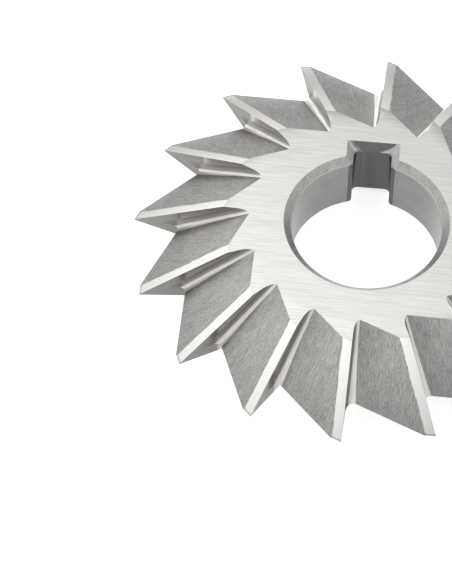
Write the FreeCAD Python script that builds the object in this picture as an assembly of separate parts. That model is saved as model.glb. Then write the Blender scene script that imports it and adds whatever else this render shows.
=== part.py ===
import FreeCAD, Part
import math
import os

from FreeCAD import Placement, Rotation, Vector

# Double-angle milling cutter, one piece of high speed steel.
# Z is the bore axis, z = 0 is the lower hub face, and the keyway points along +Y.
# Lengths are in millimetres and angles in degrees.

# Size of the disc and form of the teeth
cutter_diameter = 50.0        # over the rounded noses of the teeth
cutter_width = 8.1            # over the two hub faces
included_angle = 45.0         # between the two cutting edges of one tooth
nose_radius = 0.05            # rounding where the two cutting edges meet
tooth_count = 16
first_tooth_angle = -1.4      # first tooth face, turned from +X, seen from above

# Land behind each cutting edge
land_width = 1.0
relief_angle = 8.5            # measured square to the flank

# Gash in front of each tooth, cut once from each side
gash_root_diameter = 40.4     # over the gash floors, at mid width
gash_slope = 27.5             # fall of the gash floor away from the hub face
gash_floor_width = 1.0        # from the tooth face to the back, at mid width
gash_fillet = 0.7             # between the tooth face and the gash floor

# Bore and keyway
bore_diameter = 16.0
bore_chamfer = 0.8            # at 45 degrees, on both ends
keyway_width = 4.1
keyway_height = 17.7          # from the far side of the bore to the keyway root
keyway_corner = 0.6           # radius of the two root corners
keyway_mouth = 0.8            # 45 degree chamfer round the keyway on both faces
keyway_edge_width = 0.45      # flat along each edge of keyway and bore
keyway_edge_depth = 0.25      # how far that flat cuts into the keyway wall

# Stock of the turned blank that the grinding of the teeth takes off
flank_stock = 0.3
overrun = 1.0                 # how far a cutting tool runs past the metal

# Values that follow from the sizes above
tooth_pitch = 360.0 / tooth_count
half_angle = math.radians(included_angle / 2)
half_width = cutter_width / 2
bore_radius = bore_diameter / 2
sharp_radius = cutter_diameter / 2 + nose_radius * (1 / math.sin(half_angle) - 1)
hub_radius = sharp_radius - half_width / math.tan(half_angle)
land_fall = math.tan(math.radians(relief_angle)) / math.sin(half_angle)
blank_radius = sharp_radius + flank_stock / math.sin(half_angle)
keyway_root = keyway_height - bore_radius


def prism(points, travel):
    """Closed outline of straight lines, carried along a vector."""
    return Part.Face(Part.makePolygon(points + [points[0]])).extrude(travel)


def turned_blank():
    """Disc with two flank cones, a bore and a chamfer at each end of the bore."""
    outer_hub = blank_radius - half_width / math.tan(half_angle)
    chamfer_start = half_width - bore_chamfer
    outline = [
        Vector(bore_radius, 0, -chamfer_start),
        Vector(bore_radius + bore_chamfer, 0, -half_width),
        Vector(outer_hub, 0, -half_width),
        Vector(blank_radius, 0, 0),
        Vector(outer_hub, 0, half_width),
        Vector(bore_radius + bore_chamfer, 0, half_width),
        Vector(bore_radius, 0, chamfer_start),
    ]
    section = Part.Face(Part.makePolygon(outline + [outline[0]]))
    return section.revolve(Vector(0, 0, 0), Vector(0, 0, 1), 360)


def tooth_section(forward):
    """Outline of a tooth, this far in front of its face, with the rounded nose."""
    shift = land_fall * forward
    nose_centre = cutter_diameter / 2 - nose_radius + shift
    nose_x = nose_centre + nose_radius * math.sin(half_angle)
    nose_z = nose_radius * math.cos(half_angle)
    top = half_width + overrun
    foot = sharp_radius + shift - top / math.tan(half_angle)
    lower_foot = Vector(foot, forward, -top)
    lower_nose = Vector(nose_x, forward, -nose_z)
    tip = Vector(nose_centre + nose_radius, forward, 0)
    upper_nose = Vector(nose_x, forward, nose_z)
    upper_foot = Vector(foot, forward, top)
    edges = [
        Part.makeLine(lower_foot, lower_nose),
        Part.Arc(lower_nose, tip, upper_nose).toShape(),
        Part.makeLine(upper_nose, upper_foot),
        Part.makeLine(upper_foot, lower_foot),
    ]
    return Part.Face(Part.Wire(edges))


def relief_tool():
    """Metal that relief grinding takes off one tooth, behind its cutting edges."""
    behind = land_width + overrun
    front = overrun / 2
    length = behind + front
    form = tooth_section(front).extrude(Vector(-land_fall * length, -length, 0))
    inner = hub_radius - overrun
    outer = blank_radius + overrun
    height = 2 * half_width + overrun
    block = Part.makeBox(
        outer - inner, behind + front / 2, height, Vector(inner, -behind, -height / 2)
    )
    return block.cut(form)


def groove():
    """Straight slot from the hub face down to mid width, along one tooth face."""
    slope = math.radians(gash_slope)
    along = Vector(math.cos(slope), 0, -math.sin(slope))
    up = Vector(math.sin(slope), 0, math.cos(slope))
    across = Vector(0, 1, 0)
    root = Vector(gash_root_diameter / 2, 0, 0)
    reach_in = (half_width + overrun) / math.sin(slope)
    reach_out = (blank_radius + overrun - root.x) / math.cos(slope)
    start = root - along * reach_in
    height = cutter_width
    span = blank_radius * math.sin(math.radians(tooth_pitch)) + overrun
    corner = gash_fillet * (1 - math.sqrt(0.5))
    face_top = start + up * height
    face_foot = start + up * gash_fillet
    bend = start + up * corner + across * corner
    floor_start = start + across * gash_fillet
    floor_end = start + across * span
    outer_top = floor_end + up * height
    edges = [
        Part.makeLine(face_top, face_foot),
        Part.Arc(face_foot, bend, floor_start).toShape(),
        Part.makeLine(floor_start, floor_end),
        Part.makeLine(floor_end, outer_top),
        Part.makeLine(outer_top, face_top),
    ]
    return Part.Face(Part.Wire(edges)).extrude(along * (reach_in + reach_out))


def space_over_back():
    """Space outside the back plane that ends at the land of the next tooth."""
    turn = Rotation(Vector(0, 0, 1), tooth_pitch)
    fall = land_fall * land_width
    land_outer = turn.multVec(Vector(sharp_radius - fall, -land_width, 0))
    land_inner = turn.multVec(Vector(hub_radius - fall, -land_width, half_width))
    floor_corner = Vector(gash_root_diameter / 2, gash_floor_width, 0)
    normal = (land_inner - land_outer).cross(floor_corner - land_outer)
    normal.normalize()
    side = 2 * cutter_diameter
    slab = Part.makeBox(side, side, side, Vector(-side / 2, -side / 2, 0))
    slab.Placement = Placement(floor_corner, Rotation(Vector(0, 0, 1), normal))
    return slab


def gash_tools():
    """The upper gash in front of one tooth, and its mirror image from below."""
    upper = groove().common(space_over_back())
    return [upper, upper.mirror(Vector(0, 0, 0), Vector(0, 0, 1))]


def tooth_tools():
    """Every cut round the disc: two gashes and one relief for each tooth."""
    pattern = []
    for tool in gash_tools() + [relief_tool()]:
        for number in range(tooth_count):
            copy = tool.copy()
            angle = first_tooth_angle + number * tooth_pitch
            copy.rotate(Vector(0, 0, 0), Vector(0, 0, 1), angle)
            pattern.append(copy)
    return pattern


def keyway_slot():
    """Straight slot from the bore to the keyway root, with rounded root corners."""
    height = cutter_width + 2 * overrun
    corner = Vector(-keyway_width / 2, 0, -height / 2)
    slot = Part.makeBox(keyway_width, keyway_root, height, corner)
    root_corners = [
        edge
        for edge in slot.Edges
        if edge.BoundBox.ZLength > height / 2 and edge.BoundBox.YMin > keyway_root / 2
    ]
    return slot.makeFillet(keyway_corner, root_corners)


def keyway_edge_flats():
    """Shallow flats along the two edges where the keyway opens into the bore."""
    inner = keyway_width / 2
    outer = inner + keyway_edge_width
    inner_y = math.sqrt(bore_radius**2 - inner**2) + keyway_edge_depth
    outer_y = math.sqrt(bore_radius**2 - outer**2)
    base_y = bore_radius / 2
    bottom = -half_width - overrun
    outline = [
        Vector(-outer, base_y, bottom),
        Vector(outer, base_y, bottom),
        Vector(outer, outer_y, bottom),
        Vector(inner, inner_y, bottom),
        Vector(-inner, inner_y, bottom),
        Vector(-outer, outer_y, bottom),
    ]
    return prism(outline, Vector(0, 0, cutter_width + 2 * overrun))


def keyway_mouths():
    """Chamfered mouth of the keyway on the upper and on the lower hub face."""
    growth = keyway_mouth + overrun
    bottom = half_width - keyway_mouth
    top = bottom + growth
    side = keyway_width / 2
    back = keyway_root
    far = cutter_diameter / 2
    two_sides = prism(
        [
            Vector(-side, 0, bottom),
            Vector(side, 0, bottom),
            Vector(side + growth, 0, top),
            Vector(-side - growth, 0, top),
        ],
        Vector(0, far, 0),
    )
    back_end = prism(
        [
            Vector(-far, 0, bottom),
            Vector(-far, back, bottom),
            Vector(-far, back + growth, top),
            Vector(-far, 0, top),
        ],
        Vector(2 * far, 0, 0),
    )
    upper = two_sides.common(back_end)
    return [upper, upper.mirror(Vector(0, 0, 0), Vector(0, 0, 1))]


def cutter():
    """The whole cutter, standing on its lower hub face."""
    body = turned_blank().cut(tooth_tools())
    body = body.cut([keyway_slot(), keyway_edge_flats()] + keyway_mouths())
    body = body.removeSplitter()
    body.translate(Vector(0, 0, half_width))
    return body.Solids[0]


def main():
    os.makedirs("parts", exist_ok=True)
    body = cutter()
    body.exportStep("parts/cutter.step")
    box = body.BoundBox
    print("cutter", body.isValid(), round(body.Volume, 2), len(body.Faces), box)


main()
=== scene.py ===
import math

import bpy
import numpy as np
from bpy.props import FloatProperty, FloatVectorProperty, IntProperty, PointerProperty
from mathutils import Matrix, Vector


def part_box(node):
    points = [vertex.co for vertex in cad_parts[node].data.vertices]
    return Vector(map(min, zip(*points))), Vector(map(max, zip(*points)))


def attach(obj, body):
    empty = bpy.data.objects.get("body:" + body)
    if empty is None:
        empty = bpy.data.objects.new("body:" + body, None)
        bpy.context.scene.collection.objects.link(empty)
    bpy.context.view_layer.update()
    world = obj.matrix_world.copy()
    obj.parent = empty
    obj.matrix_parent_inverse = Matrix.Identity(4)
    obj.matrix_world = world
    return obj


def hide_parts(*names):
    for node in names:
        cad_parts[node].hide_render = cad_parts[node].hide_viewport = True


bl_info = {
    "name": "Double-angle cutter",
    "version": (1, 0, 0),
    "blender": (4, 5, 0),
    "location": "3D View > Sidebar > Cutter",
    "description": "Gives a double-angle milling cutter its ground steel and its studio",
    "category": "Object",
}

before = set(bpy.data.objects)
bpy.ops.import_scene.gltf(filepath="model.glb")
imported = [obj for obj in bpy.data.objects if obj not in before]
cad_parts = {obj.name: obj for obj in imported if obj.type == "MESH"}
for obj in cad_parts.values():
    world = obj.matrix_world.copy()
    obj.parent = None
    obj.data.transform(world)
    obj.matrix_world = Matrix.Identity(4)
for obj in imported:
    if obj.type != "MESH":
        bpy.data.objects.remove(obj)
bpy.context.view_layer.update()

MM = 0.001

# Surfaces of the cutter, in the order of its material slots
HUB, FLANK, FACE, ROOT, BORE, CHAMFER, KEYWAY, MOUTH, MOUTH_END = range(9)

# Limits that tell the surfaces apart. A rise, a side and an inward part belong
# to a triangle's normal: up or down, along X, and towards the bore axis.
SAME_POINT = 0.0001 * MM      # corners of the solid's mesh that become one
ON_SURFACE = 0.01 * MM        # from a hub face, or from the bore wall
SAME_PLANE = 0.9995           # cosine between a triangle and a plane of its tooth
HUB_RISE = 0.9999
BORE_INWARD = 0.99
CHAMFER_SPREAD = 0.05         # between the rise and the inward part of a chamfer
MOUTH_RISE = 0.6
MOUTH_END_SIDE = 0.1
KEYWAY_MARGIN = 0.1 * MM      # past the keyway mouth, to each side
KEYWAY_START = 0.8            # of the bore's radius, along Y
TOOTH_MARGIN = 3.5 * MM       # from the hub face's rim in, just clear of the gashes

# Two surfaces that meet at less than this are shaded as one
SMOOTH_ANGLE = math.radians(24.0)

# How far the grain is moved along its map, in millimetres, so that no two match
TOOTH_SHIFT = 37.1
LOWER_SIDE_SHIFT = 511.3

# Size of the specks on the chamfers
SPECK = (0.15 * MM,) * 3

WHITE = (1.0, 1.0, 1.0, 1.0)
BLACK = (0.0, 0.0, 0.0, 1.0)

# Floor, in metres
FLOOR_REACH = 0.8             # from the bore axis to each side
FLOOR_CELLS = 8               # along each side
FLOOR_DROP = 0.02 * MM        # keeps it clear of the lower hub face
GLOW_ENDS = (0.07, 0.13)      # from the bore axis, where the glow fades and where it ends


def length(name, description, default):
    """A size in metres, given in millimetres."""
    return FloatProperty(
        name=name, description=description, default=default * MM, min=0.0, precision=6,
        subtype="DISTANCE", unit="LENGTH",
    )


def turn(name, description, default):
    """An angle in radians, given in degrees."""
    return FloatProperty(
        name=name, description=description, default=math.radians(default), precision=4,
        subtype="ANGLE", unit="ROTATION",
    )


def tone(name, description, default):
    """A colour, as linear red, green and blue."""
    return FloatVectorProperty(
        name=name, description=description, default=default, size=3, min=0.0, max=1.0,
        subtype="COLOR",
    )


def share(name, description, default, most=1.0):
    """A plain number from nought to its most."""
    return FloatProperty(
        name=name, description=description, default=default, min=0.0, max=most,
        subtype="FACTOR",
    )


class CutterSizes(bpy.types.PropertyGroup):
    """Sizes that tell the ground surfaces of the cutter apart."""

    sharp_diameter: length("Sharp diameter", "Where the two cutting edges would meet", 50.161)
    included_angle: turn("Included angle", "Between the two cutting edges of a tooth", 45.0)
    tooth_count: IntProperty(
        name="Teeth", description="Teeth round the cutter", default=16, min=3, max=60
    )
    first_tooth: turn("First tooth", "First tooth face, turned from the X axis", -1.4)
    land_width: length("Land width", "Ground strip behind each cutting edge", 1.0)
    relief_angle: turn("Relief angle", "Of the land, square to the flank", 8.5)
    root_diameter: length("Root diameter", "Over the gash floors at mid width", 40.4)
    gash_slope: turn("Gash slope", "Fall of the gash floor from the hub face", 27.5)
    floor_width: length("Floor width", "Flat of the gash floor at mid width", 1.0)
    bore_diameter: length("Bore", "Diameter of the bore", 16.0)
    bore_chamfer: length("Bore chamfer", "Chamfer at each end of the bore", 0.8)
    keyway_width: length("Keyway width", "Between the side walls of the keyway", 4.1)
    keyway_mouth: length("Keyway mouth", "Chamfer round the end of the keyway", 0.8)


class CutterFinishes(bpy.types.PropertyGroup):
    """Colours and gloss of the ground, milled and broached surfaces, some with painted light in
    them.
    """

    hub: tone("Hub faces", "Surface ground steel", (0.5, 0.496, 0.485))
    land: tone("Lands", "Finely ground strip behind the cutting edges", (0.675, 0.67, 0.655))
    back: tone("Tooth backs", "Milled steel behind the lands", (0.318, 0.313, 0.304))
    face: tone("Tooth faces", "Ground face in front of each edge", (0.22, 0.213, 0.2))
    # painted light: a lighter copy of the tooth face's tone, for its part over the gash floor,
    # offsetting the dark gash back that this part mirrors
    face_inner_painted_light: tone("Inner faces", "Face over the gash floor", (0.53, 0.515, 0.49))
    # painted highlight: the gash floor's bright tone, with a darker copy below it for the steep
    # corner under the tooth face
    root: tone("Gash floors", "Bright floor of each gash", (0.83, 0.812, 0.785))
    root_wall: tone("Gash corners", "Rounded corner under the tooth face", (0.38, 0.37, 0.355))
    bore: tone("Bore", "Ground wall of the bore", (0.248, 0.2455, 0.24))
    chamfer: tone("Bore chamfer", "Turned chamfer, coarser than the wall", (0.58, 0.575, 0.56))
    keyway: tone("Keyway", "Broached walls of the keyway", (0.106, 0.1025, 0.1035))
    # painted light: the keyway mouth chamfer in a lit copy at its sides and in a dark copy at its
    # root end
    mouth: tone("Keyway mouth", "Chamfer at both sides of the keyway", (0.655, 0.651, 0.64))
    mouth_end_painted_shade: tone("Keyway mouth end", "Chamfer at the root of the keyway", (0.21, 0.209, 0.204))
    gloss: share("Ground roughness", "Roughness of the ground surfaces", 0.21)
    milled: share("Milled roughness", "Roughness of the milled surfaces", 0.27)


class CutterStudio(bpy.types.PropertyGroup):
    """Floor, light and camera."""

    floor: tone("Floor", "Pale floor under the cutter", (0.93, 0.93, 0.925))
    # painted light: the floor's glow near the cutter washes out the cutter's shadow on it
    glow: share("Floor glow", "Light that the floor gives by itself, as a light table", 0.64)
    light: share("Light", "Strength of the brightest part of the light", 1.68, 10.0)
    light_side: turn("Light side", "Bearing of the brightest part, from X", 120.75)
    light_height: turn("Light height", "Height of the brightest part", 58.0)
    light_reach: turn("Light reach", "From the brightest part to where it has faded", 60.0)
    light_fade: share("Light fade", "How fast it fades, one for evenly", 1.27, 10.0)
    light_rest: share("Light all round", "Strength past the reach, as a share", 0.396)
    bearing: turn("Camera bearing", "Turn of the view about the bore axis", 6.156)
    height: turn("Camera height", "How far the view looks down", 56.0715)
    roll: turn("Camera roll", "Turn of the picture", -0.3404)
    away: length("Camera distance", "From the camera to the plane of the middle", 300.202)
    right: length("Middle right", "Cutter's middle, right of the picture's", 14.9005)
    up: length("Middle up", "Cutter's middle, above the picture's", 5.2216)
    lens: share("Lens", "Focal length in millimetres", 173.1, 1000.0)


class Wire:
    """A socket that gives a number or a colour; sums on it add Math nodes."""

    def __init__(self, finish, socket):
        self.finish = finish
        self.socket = socket

    def sum(self, operation, *values):
        inputs = dict(enumerate(values))
        return self.finish.node("ShaderNodeMath", {"operation": operation}, inputs)

    def __add__(self, other):
        return self.sum("ADD", self, other)

    def __sub__(self, other):
        return self.sum("SUBTRACT", self, other)

    def __rsub__(self, other):
        return self.sum("SUBTRACT", other, self)

    def __mul__(self, other):
        return self.sum("MULTIPLY", self, other)

    def __truediv__(self, other):
        return self.sum("DIVIDE", self, other)

    def __pow__(self, other):
        return self.sum("POWER", self, other)

    def __abs__(self):
        return self.sum("ABSOLUTE", self)

    def step(self, start, end):
        """Rises smoothly from nought at start to one at end."""
        inputs = {0: self, 1: start, 2: end, 3: 0.0, 4: 1.0}
        return self.finish.node("ShaderNodeMapRange", {"interpolation_type": "SMOOTHSTEP"}, inputs)

    __radd__ = __add__
    __rmul__ = __mul__


class Finish:
    """The nodes of one material, or of the studio's light."""

    def __init__(self, tree):
        self.tree = tree
        self.tree.nodes.clear()

    def node(self, kind, settings, inputs, output=0):
        """Adds a node, sets it, then gives its sockets their values or links."""
        made = self.tree.nodes.new(kind)
        for name, value in settings.items():
            setattr(made, name, value)
        for name, value in inputs.items():
            if isinstance(value, Wire):
                self.tree.links.new(value.socket, made.inputs[name])
            else:
                made.inputs[name].default_value = value
        return Wire(self, made.outputs[output]) if made.outputs else None

    def place(self):
        return self.node("ShaderNodeTexCoord", {}, {}, "Object")

    def along(self, name):
        """Millimetres over one kind of surface, from the piece's own map."""
        return self.node("ShaderNodeUVMap", {"uv_map": name}, {})

    def part(self, where, axis):
        """One part of a vector, along X, Y or Z."""
        return self.node("ShaderNodeSeparateXYZ", {}, {"Vector": where}, axis)

    def measure(self, operation, *vectors):
        """A number from vectors: the length of one or the dot product of two."""
        inputs = dict(enumerate(vectors))
        return self.node("ShaderNodeVectorMath", {"operation": operation}, inputs, "Value")

    def spread(self, where, size, turned=0.0):
        """Coordinates divided by a size along each axis, after a turn about Z."""
        inputs = {"Vector": where, "Rotation": (0.0, 0.0, turned)}
        flat = self.node("ShaderNodeMapping", {"vector_type": "POINT"}, inputs)
        inputs = {"Vector": flat, "Scale": tuple(1.0 / part for part in size)}
        return self.node("ShaderNodeMapping", {"vector_type": "POINT"}, inputs)

    def noise(self, where, size, turned=0.0, detail=2.0, rough=0.5):
        """Noise from nought to one, its grains as long as the size along each axis."""
        inputs = {"Vector": self.spread(where, size, turned), "Scale": 1.0}
        inputs |= {"Detail": detail, "Roughness": rough}
        return self.node("ShaderNodeTexNoise", {"noise_dimensions": "3D"}, inputs)

    def blend(self, amount, low, high):
        """Colour from low to high by the amount."""
        settings = {"data_type": "RGBA", "clamp_factor": True}
        return self.node("ShaderNodeMix", settings, {0: amount, 6: low, 7: high}, 2)

    def shades(self, amount, colour, spread):
        """One colour, darker and lighter by the spread as the amount goes up."""
        low = tuple(part * (1.0 - spread) for part in colour) + (1.0,)
        high = tuple(min(1.0, part * (1.0 + spread)) for part in colour) + (1.0,)
        return self.blend(amount, low, high)

    def relief(self, height, depth):
        """Normal of a surface that rises by the depth, in metres, with the height."""
        return self.node("ShaderNodeBump", {}, {"Height": height, "Distance": depth}, "Normal")

    def metal(self, colour, roughness, normal):
        inputs = {"Base Color": colour, "Metallic": 1.0, "Roughness": roughness}
        shader = self.node("ShaderNodeBsdfPrincipled", {}, inputs | {"Normal": normal})
        self.node("ShaderNodeOutputMaterial", {}, {"Surface": shader})


def fresh_material(name):
    material = bpy.data.materials.new(name)
    material.use_nodes = True
    return material, Finish(material.node_tree)


def hub_finish(look):
    """Straight grinding lines across the hub faces, square to the keyway, with painted light: the
    faces grow lighter, and their lines stronger, towards one side.
    """
    material, finish = fresh_material("surface_ground_steel")
    place = finish.place()
    fine = finish.noise(place, (4.5 * MM, 0.16 * MM, 1.0), 0.02, 3.0, 0.7)
    broad = finish.noise(place, (16.0 * MM, 0.7 * MM, 1.0), 0.02, 2.0, 0.5)
    scratch = finish.noise(place, (6.0 * MM, 0.24 * MM, 1.0), 0.035, 2.0, 0.5)
    deep = 1.0 - scratch.step(0.32, 0.42)
    lines = fine * 0.55 + broad * 0.45
    # painted light: the hub faces grow lighter, and their lines stronger, towards one side
    side = finish.measure("DOT_PRODUCT", place, (-0.64, -0.77, 0.0))
    painted_light_side = side.step(-18.0 * MM, 18.0 * MM)
    grain = (fine.step(0.34, 0.66) * 0.36 + broad.step(0.3, 0.7) * 0.12) * (painted_light_side * 0.4 + 0.7)
    colour = finish.shades(grain - deep * 0.2 + painted_light_side * 0.52, look.hub, 0.22)
    roughness = lines * 0.14 + (look.gloss - 0.05)
    finish.metal(colour, roughness, finish.relief(fine * 0.7 - deep * 0.5, 0.0022 * MM))
    return material


def flank_finish(look, half_width):
    """Bright ground land along the cutting edge, and the milled back behind it.

    The border between the two lies one land width behind the edge and wavers.
    """
    material, finish = fresh_material("land_and_back_steel")
    edge = finish.along("edge")
    lay = finish.along("lay")
    slow = finish.noise(edge, (3.2, 30.0, 1.0), 0.0, 2.0, 0.5) - 0.5
    quick = finish.noise(edge, (0.7, 30.0, 1.0), 0.0, 3.0, 0.6) - 0.5
    behind = finish.part(edge, "Y")
    on_land = (behind + slow * 0.35 + quick * 0.2).step(-1.01, -0.95)

    hair = finish.noise(lay, (1.1, 0.12, 1.0), 0.0, 3.0, 0.65)
    patch = finish.noise(lay, (3.0, 0.8, 1.0), 0.0, 2.0, 0.5)
    grit = finish.noise(lay, (0.26, 0.15, 1.0), 0.0, 3.0, 0.7)
    streaks = hair * 0.47 + patch * 0.12 + grit * 0.41
    back = finish.shades(streaks.step(0.37, 0.63), look.back, 0.29)

    diagonal = finish.noise(edge, (2.2, 0.07, 1.0), math.radians(35.0), 3.0, 0.6)
    mild = finish.noise(edge, (2.5, 0.5, 1.0), 0.0, 2.0, 0.5)
    ground = diagonal * 0.6 + mild * 0.4
    land = finish.shades(ground.step(0.32, 0.66), look.land, 0.035)

    # painted shade: the land turns towards the back's tone in a narrow band along the tooth tip,
    # at mid width
    from_middle = abs(finish.part(finish.place(), "Z") - half_width)
    tip_painted_shade = 1.0 - (from_middle + quick * (0.1 * MM)).step(0.09 * MM, 0.16 * MM)
    land = finish.blend(tip_painted_shade * 0.6, land, back)

    colour = finish.blend(on_land, back, land)
    roughness = on_land * (look.gloss - look.milled - 0.08) + streaks * 0.12 + (look.milled + 0.02)
    height = on_land * (diagonal * 0.4) + (1.0 - on_land) * streaks
    finish.metal(colour, roughness, finish.relief(height, 0.006 * MM))
    return material


def face_finish(look, root_radius):
    """Ground tooth face, painted lighter where it stands over the gash floor, to offset the dark
    gash back that it mirrors there.
    """
    material, finish = fresh_material("tooth_face_steel")
    lay = finish.along("lay")
    out = finish.part(finish.along("edge"), "X")
    hair = finish.noise(lay, (2.2, 0.14, 1.0), 0.0, 3.0, 0.6)
    slow = finish.noise(lay, (3.5, 0.7, 1.0), 0.0, 2.0, 0.5)
    lines = hair * 0.6 + slow * 0.4
    past = (out + slow * 0.3).step(root_radius / MM - 0.42, root_radius / MM + 0.12)
    shade = lines.step(0.34, 0.66)
    inner = finish.shades(shade, look.face_inner_painted_light, 0.12)
    outer = finish.shades(shade, look.face, 0.12)
    # painted light: the lighter copy over the gash floor, the plain face tone past it
    colour = finish.blend(past, inner, outer)
    roughness = lines * 0.12 + (look.gloss + 0.1)
    finish.metal(colour, roughness, finish.relief(hair, 0.003 * MM))
    return material


def root_finish(look, root_radius):
    """Rounded floor of the gash, which turns into the tooth face above it. Painted highlight: a
    bright band on its flatter part, and a darker copy on its steep corner, which turns into the
    tooth face's tone.
    """
    material, finish = fresh_material("gash_root_steel")
    lay = finish.along("lay")
    across = finish.part(lay, "Y")
    out = finish.part(finish.along("edge"), "X")
    hair = finish.noise(lay, (3.0, 0.1, 1.0), 0.0, 3.0, 0.6)
    slow = finish.noise(lay, (4.0, 0.5, 1.0), 0.0, 2.0, 0.5)
    lines = hair * 0.65 + slow * 0.35
    shade = lines.step(0.32, 0.66)
    floor = finish.shades(shade, look.root, 0.18)
    past = out.step(root_radius / MM - 0.2, root_radius / MM + 0.35)
    inner = finish.shades(shade, look.root_wall, 0.12)
    wall = finish.blend(past, inner, finish.shades(shade, look.face, 0.12))
    # painted highlight: the bright tone on the flatter part of the rounded gash floor, the darker
    # copy on its steep part
    floor_highlight_band = (across + slow * 0.1).step(0.06, 0.3)
    colour = finish.blend(floor_highlight_band, wall, floor)
    roughness = lines * 0.1 + (look.gloss + 0.3) - floor_highlight_band * 0.15
    finish.metal(colour, roughness, finish.relief(hair, 0.004 * MM))
    return material


def bore_finish(look):
    """Ground bore wall, with faint lines round the bore."""
    material, finish = fresh_material("bore_wall_steel")
    lay = finish.along("lay")
    rings = finish.noise(lay, (9.0, 0.12, 1.0), 0.0, 3.0, 0.6)
    cloud = finish.noise(lay, (3.0, 2.0, 1.0), 0.0, 3.0, 0.6)
    lines = rings * 0.4 + cloud * 0.6
    colour = finish.shades(lines.step(0.32, 0.68), look.bore, 0.09)
    roughness = lines * 0.1 + (look.milled - 0.04)
    finish.metal(colour, roughness, finish.relief(rings, 0.0015 * MM))
    return material


def speckled_finish(name, colour, rough, bore_radius):
    """Turned chamfer, torn into small specks, with a painted highlight along its edge at the bore
    wall.
    """
    material, finish = fresh_material(name)
    place = finish.place()
    speck = finish.noise(place, SPECK, 0.0, 3.0, 0.7)
    cloud = finish.noise(place, (1.2 * MM,) * 3, 0.0, 2.0, 0.5)
    mix = speck * 0.8 + cloud * 0.2
    inputs = {0: place, 1: (1.0, 1.0, 0.0)}
    flat = finish.node("ShaderNodeVectorMath", {"operation": "MULTIPLY"}, inputs)
    out = finish.measure("LENGTH", flat)
    # painted highlight: lighter in a narrow band along the edge at the bore wall
    rim = 1.0 - (out - bore_radius).step(0.06 * MM, 0.16 * MM)
    shade = finish.shades(mix.step(0.36, 0.64) + rim * 0.4, colour, 0.22)
    roughness = mix * 0.2 + rough
    finish.metal(shade, roughness, finish.relief(speck, 0.012 * MM))
    return material


def mouth_end_finish(look, mouth, half_width):
    """Root end of the keyway mouth, in painted shade: a dark copy of the mouth chamfer's tone,
    with slivers of its lit copy beside the corners.

    With the depth under the hub face as a share of the mouth, the bright part
    starts right of 2.5 - 1.8 depth ** 1.4 and left of 1.1 depth - 2.65, in
    millimetres from the keyway's middle. A bright line runs beside the left one.
    """
    material, finish = fresh_material("keyway_mouth_end_steel")
    place = finish.place()
    speck = finish.noise(place, SPECK, 0.0, 3.0, 0.7)
    cloud = finish.noise(place, (0.5 * MM,) * 3, 0.0, 3.0, 0.6)
    side = finish.part(place, "X")
    depth = (half_width - abs(finish.part(place, "Z") - half_width)) / mouth
    ragged = side / MM + (cloud - 0.5) * 0.5
    right = (ragged + depth ** 1.4 * 1.8).step(2.46, 2.56)
    beside = ragged - depth * 1.1
    left = 1.0 - beside.step(-2.7, -2.6)
    line = beside.step(-2.5, -2.45) - beside.step(-2.4, -2.35)
    # painted shade and painted light: the chamfer's dark copy on the end, its lit copy in the
    # slivers and the line
    dark = finish.shades(speck.step(0.36, 0.64), look.mouth_end_painted_shade, 0.22)
    light = finish.shades(speck.step(0.36, 0.64), look.mouth, 0.16)
    on_slope = 1.0 - depth.step(0.96, 0.99)
    colour = finish.blend((right + left + line * 0.8) * on_slope, dark, light)
    finish.metal(colour, speck * 0.2 + look.milled, finish.relief(speck, 0.012 * MM))
    return material


def keyway_finish(look):
    """Dark broached walls, with lines from one hub face to the other."""
    material, finish = fresh_material("broached_steel")
    place = finish.place()
    lines = finish.noise(place, (0.11 * MM, 0.11 * MM, 14.0 * MM), 0.0, 3.0, 0.65)
    broad = finish.noise(place, (0.5 * MM, 0.5 * MM, 20.0 * MM), 0.0, 2.0, 0.5)
    mix = lines * 0.72 + broad * 0.28
    colour = finish.shades(mix.step(0.32, 0.68), look.keyway, 0.18)
    roughness = mix * 0.2 + look.milled
    finish.metal(colour, roughness, finish.relief(mix, 0.012 * MM))
    return material


def finishes(sizes, look, half_width):
    """One material for each kind of surface, in the order of the slots."""
    root = sizes.root_diameter / 2
    bore = sizes.bore_diameter / 2
    return [
        hub_finish(look),
        flank_finish(look, half_width),
        face_finish(look, root),
        root_finish(look, root),
        bore_finish(look),
        speckled_finish("turned_chamfer_steel", look.chamfer, look.milled, bore),
        keyway_finish(look),
        speckled_finish("keyway_mouth_steel", look.mouth, look.milled + 0.2, bore),
        mouth_end_finish(look, sizes.keyway_mouth, half_width),
    ]


def merged_surface(node):
    """Points and triangles of a solid, with each point kept once.

    Points that agree to a ten-thousandth of a millimetre share one number,
    and triangles that have lost a corner are left out.
    """
    mesh = node.data
    points = np.empty(len(mesh.vertices) * 3)
    mesh.vertices.foreach_get("co", points)
    points = points.reshape(-1, 3)
    corners = np.empty(len(mesh.loops), dtype=np.int64)
    mesh.loops.foreach_get("vertex_index", corners)
    cells = np.round(points / SAME_POINT).astype(np.int64)
    _, first, number = np.unique(cells, axis=0, return_index=True, return_inverse=True)
    faces = number.reshape(-1)[corners].reshape(-1, 3)
    apart = (faces != np.roll(faces, 1, axis=1)).all(axis=1)
    return points[first], faces[apart]


def turned_back(points, angles):
    """Points turned back about Z: x cos a + y sin a, and y cos a - x sin a."""
    along = points[:, 0] * np.cos(angles) + points[:, 1] * np.sin(angles)
    across = points[:, 1] * np.cos(angles) - points[:, 0] * np.sin(angles)
    return np.stack([along, across, points[:, 2]], axis=1)


def unit(vector):
    return np.asarray(vector) / np.linalg.norm(vector)


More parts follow.
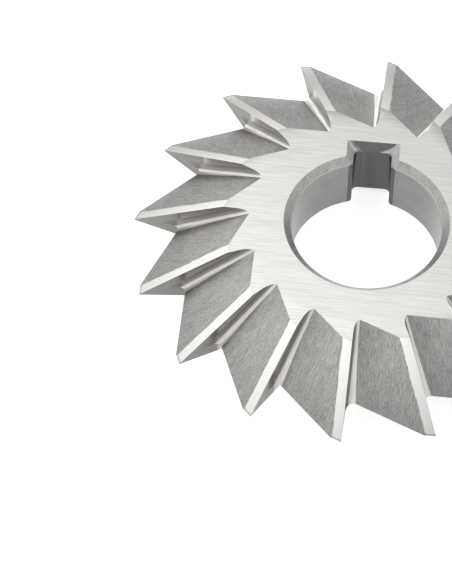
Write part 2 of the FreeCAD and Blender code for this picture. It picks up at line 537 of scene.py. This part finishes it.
class ToothForm:
    """Planes of one tooth, with its face on the XZ plane and mid width at z = 0."""

    def __init__(self, sizes, half_width):
        half = sizes.included_angle / 2
        self.pitch = math.tau / sizes.tooth_count
        sharp = sizes.sharp_diameter / 2
        hub = sharp - half_width / math.tan(half)
        fall = math.tan(sizes.relief_angle) / math.sin(half)
        slope = sizes.gash_slope
        self.along = np.array([math.cos(slope), 0.0, -math.sin(slope)])
        self.floor = np.array([math.sin(slope), 0.0, math.cos(slope)])
        self.root = np.array([sizes.root_diameter / 2, 0.0, 0.0])
        self.land = unit([1.0, -fall, 1.0 / math.tan(half)])
        back = fall * sizes.land_width
        ends = np.array(
            [[sharp - back, -sizes.land_width, 0.0], [hub - back, -sizes.land_width, half_width]]
        )
        outer, inner = turned_back(ends, -self.pitch)
        foot = self.root + np.array([0.0, sizes.floor_width, 0.0])
        self.back = unit(np.cross(inner - outer, foot - outer))
        self.hub_radius = hub


def surface_kinds(sizes, middles, normals, half_width, form):
    """Which finish each triangle gets, from where it lies and which way it faces."""
    up = np.abs(normals[:, 2])
    side = np.where(middles[:, 2] < 0.0, -1.0, 1.0)
    mirror = np.stack([np.ones_like(side), np.ones_like(side), side], axis=1)
    angle = np.arctan2(middles[:, 1], middles[:, 0]) - sizes.first_tooth
    gap = np.floor(angle / form.pitch)
    nearest = np.round(angle / form.pitch)
    radius = np.hypot(middles[:, 0], middles[:, 1])

    def faces_as(turns, plane):
        local = turned_back(normals * mirror, sizes.first_tooth + turns * form.pitch)
        return local @ plane > SAME_PLANE

    bore = sizes.bore_diameter / 2
    key_side = sizes.keyway_width / 2 + sizes.keyway_mouth + KEYWAY_MARGIN
    in_key = (np.abs(middles[:, 0]) < key_side) & (middles[:, 1] > KEYWAY_START * bore)
    inside = radius < form.hub_radius - TOOTH_MARGIN
    inward = -(normals[:, 0] * middles[:, 0] + normals[:, 1] * middles[:, 1]) / radius
    even = np.abs(up - inward) < CHAMFER_SPREAD
    on_mouth = inside & in_key & (up > MOUTH_RISE)
    rules = [
        (up > HUB_RISE) & (np.abs(middles[:, 2]) > half_width - ON_SURFACE),
        inside & (radius < bore + ON_SURFACE) & (inward > BORE_INWARD),
        inside & (radius < bore + sizes.bore_chamfer) & even,
        on_mouth & (np.abs(normals[:, 0]) < MOUTH_END_SIDE),
        on_mouth,
        inside & in_key,
        ~inside & faces_as(nearest, np.array([0.0, 1.0, 0.0])),
        ~inside & (faces_as(gap + 1, form.land) | faces_as(gap, form.back)),
    ]
    kinds = np.select(rules, [HUB, BORE, CHAMFER, MOUTH_END, MOUTH, KEYWAY, FACE, FLANK], ROOT)
    gap = np.where(kinds == FACE, nearest, gap)
    return kinds, gap, mirror


def surface_maps(sizes, corners, kinds, gap, mirror, form):
    """Two maps over the surfaces, in millimetres, one corner after another.

    "lay" runs along the gash and then across it, by the distance from the
    tooth face, or by the height over the gash floor on the tooth face itself.
    On the bore it runs round the bore and then along it. "edge" runs out from
    the bore axis and then away from the next cutting edge, which lies at
    nought; on a tooth face and in a gash root it runs out from the bore axis
    and up. Each gash is shifted along its map, so that no two look alike.
    """
    turns = np.repeat(gap, 3)
    kind = np.repeat(kinds, 3)
    flip = np.repeat(mirror, 3, axis=0)
    here = turned_back(corners * flip, sizes.first_tooth + turns * form.pitch)
    following = turned_back(corners * flip, sizes.first_tooth + (turns + 1) * form.pitch)
    run = here @ form.along
    rise = (here - form.root) @ form.floor
    across = np.select([kind == FACE, kind == ROOT], [rise, here[:, 1] - rise], here[:, 1])
    shift = (turns * TOOTH_SHIFT + (flip[:, 2] < 0) * LOWER_SIDE_SHIFT) * MM
    bore = sizes.bore_diameter / 2
    round_bore = np.arctan2(corners[:, 0], -corners[:, 1]) * bore
    on_bore = kind == BORE
    lay = np.stack(
        [np.where(on_bore, round_bore, run + shift), np.where(on_bore, corners[:, 2], across)],
        axis=1,
    )
    edge = np.where(
        ((kind == FACE) | (kind == ROOT))[:, None],
        np.stack([here[:, 0], here[:, 2]], axis=1),
        np.stack([following[:, 0] + shift, following[:, 1]], axis=1),
    )
    return lay / MM, edge / MM


class CUTTER_OT_body(bpy.types.Operator):
    """Makes the cutter in its ground and milled steel"""

    bl_idname = "cutter.body"
    bl_label = "Cutter"

    def execute(self, context):
        sizes = context.scene.cutter_sizes
        look = context.scene.cutter_finishes
        low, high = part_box("cutter")
        half_width = (high.z - low.z) / 2
        form = ToothForm(sizes, half_width)
        points, faces = merged_surface(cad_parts["cutter"])
        middle = np.array([0.0, 0.0, half_width])
        triangles = points[faces] - middle
        corners = triangles.reshape(-1, 3)
        normals = np.cross(triangles[:, 1] - triangles[:, 0], triangles[:, 2] - triangles[:, 0])
        normals /= np.linalg.norm(normals, axis=1, keepdims=True)
        middles = triangles.mean(axis=1)
        kinds, gap, mirror = surface_kinds(sizes, middles, normals, half_width, form)
        lay, edge = surface_maps(sizes, corners, kinds, gap, mirror, form)

        mesh = bpy.data.meshes.new("cutter_body")
        mesh.from_pydata(points, [], faces)
        for name, values in (("lay", lay), ("edge", edge)):
            layer = mesh.uv_layers.new(name=name)
            layer.uv.foreach_set("vector", values.astype(np.float32).ravel())
        for material in finishes(sizes, look, half_width):
            mesh.materials.append(material)
        mesh.polygons.foreach_set("material_index", kinds.astype(np.int32))
        mesh.polygons.foreach_set("use_smooth", np.ones(len(faces), dtype=bool))
        mesh.set_sharp_from_angle(angle=SMOOTH_ANGLE)
        mesh.update()
        body = bpy.data.objects.new("cutter_body", mesh)
        context.scene.collection.objects.link(body)
        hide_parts("cutter")
        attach(body, "root")
        return {"FINISHED"}


def floor_mesh():
    """Square grid just under z = 0, from minus the reach to the reach."""
    row = FLOOR_CELLS + 1
    line = np.linspace(-FLOOR_REACH, FLOOR_REACH, row)
    across, along = np.meshgrid(line, line)
    height = np.full(across.size, -FLOOR_DROP)
    points = np.stack([across.ravel(), along.ravel(), height], axis=1)
    cell = np.arange(FLOOR_CELLS)
    start = (cell[:, None] * row + cell[None, :]).ravel()
    faces = np.stack([start, start + 1, start + row + 1, start + row], axis=1)
    mesh = bpy.data.meshes.new("floor")
    mesh.from_pydata(points, [], faces)
    return mesh


def floor_finish(studio):
    """Matt white card with a faint grain. Near the cutter it glows: painted light that washes out
    the cutter's shadow on the floor.
    """
    material, finish = fresh_material("white_card")
    place = finish.place()
    grain = finish.noise(place, (0.6 * MM,) * 3, 0.0, 3.0, 0.6)
    colour = finish.shades(grain, studio.floor, 0.01)
    # painted light: the glow is full near the cutter and fades out between GLOW_ENDS
    lit = finish.blend(finish.measure("LENGTH", place).step(*GLOW_ENDS), WHITE, BLACK)
    inputs = {"Base Color": colour, "Roughness": 0.9, "Emission Color": lit}
    inputs |= {"Emission Strength": studio.glow}
    shader = finish.node("ShaderNodeBsdfPrincipled", {}, inputs)
    finish.node("ShaderNodeOutputMaterial", {}, {"Surface": shader})
    return material


def bearing_vector(side, height):
    """Unit vector at a bearing from X and a height over the floor."""
    flat = math.cos(height)
    return Vector((flat * math.cos(side), flat * math.sin(side), math.sin(height)))


class CUTTER_OT_studio(bpy.types.Operator):
    """Sets the pale floor, the soft light and the camera"""

    bl_idname = "cutter.studio"
    bl_label = "Studio"

    def execute(self, context):
        scene = context.scene
        scene.view_settings.view_transform = "Standard"
        studio = scene.cutter_studio
        mesh = floor_mesh()
        mesh.materials.append(floor_finish(studio))
        floor = bpy.data.objects.new("floor", mesh)
        scene.collection.objects.link(floor)

        world = bpy.data.worlds.new("soft_light")
        world.use_nodes = True
        scene.world = world
        finish = Finish(world.node_tree)
        towards = finish.node("ShaderNodeTexCoord", {}, {}, "Generated")
        best = tuple(bearing_vector(studio.light_side, studio.light_height))
        near = finish.measure("DOT_PRODUCT", towards, best)
        faded = math.cos(studio.light_reach)
        rise = finish.node("ShaderNodeMapRange", {}, {0: near, 1: faded, 2: 1.0})
        rest = studio.light_rest
        strength = (rise ** studio.light_fade * (1.0 - rest) + rest) * studio.light
        sky = finish.node("ShaderNodeBackground", {}, {"Color": WHITE, "Strength": strength})
        finish.node("ShaderNodeOutputWorld", {}, {"Surface": sky})

        turned = Matrix.Rotation(studio.bearing, 3, "Z")
        look = turned @ Vector((0.0, math.cos(studio.height), -math.sin(studio.height)))
        level = turned @ Vector((1.0, 0.0, 0.0))
        steep = level.cross(look)
        camera_right = level * math.cos(studio.roll) + steep * math.sin(studio.roll)
        camera_up = steep * math.cos(studio.roll) - level * math.sin(studio.roll)
        low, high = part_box("cutter")
        middle = Vector((0.0, 0.0, (low.z + high.z) / 2))
        eye = middle - camera_right * studio.right - camera_up * studio.up - look * studio.away
        stand = Matrix((camera_right, camera_up, -look)).transposed().to_4x4()
        stand.translation = eye
        data = bpy.data.cameras.new("camera")
        data.lens = studio.lens
        data.sensor_width = 36.0
        data.clip_start = 0.01
        data.clip_end = 20.0
        camera = bpy.data.objects.new("camera", data)
        camera.matrix_world = stand
        scene.collection.objects.link(camera)
        scene.camera = camera
        return {"FINISHED"}


class CUTTER_PT_panel(bpy.types.Panel):
    """Buttons for the cutter and its studio"""

    bl_idname = "CUTTER_PT_panel"
    bl_label = "Double-angle cutter"
    bl_space_type = "VIEW_3D"
    bl_region_type = "UI"
    bl_category = "Cutter"

    def draw(self, context):
        for name in ("cutter_sizes", "cutter_finishes", "cutter_studio"):
            group = getattr(context.scene, name)
            box = self.layout.box()
            for row in group.bl_rna.properties:
                if row.identifier not in ("rna_type", "name"):
                    box.prop(group, row.identifier)
        self.layout.operator(CUTTER_OT_body.bl_idname)
        self.layout.operator(CUTTER_OT_studio.bl_idname)


CLASSES = (
    CutterSizes,
    CutterFinishes,
    CutterStudio,
    CUTTER_OT_body,
    CUTTER_OT_studio,
    CUTTER_PT_panel,
)


def register():
    for kind in CLASSES:
        bpy.utils.register_class(kind)
    bpy.types.Scene.cutter_sizes = PointerProperty(type=CutterSizes)
    bpy.types.Scene.cutter_finishes = PointerProperty(type=CutterFinishes)
    bpy.types.Scene.cutter_studio = PointerProperty(type=CutterStudio)


def unregister():
    del bpy.types.Scene.cutter_studio
    del bpy.types.Scene.cutter_finishes
    del bpy.types.Scene.cutter_sizes
    for kind in reversed(CLASSES):
        bpy.utils.unregister_class(kind)


def main():
    register()
    bpy.ops.cutter.body()
    bpy.ops.cutter.studio()


if __name__ == "__main__":
    main()
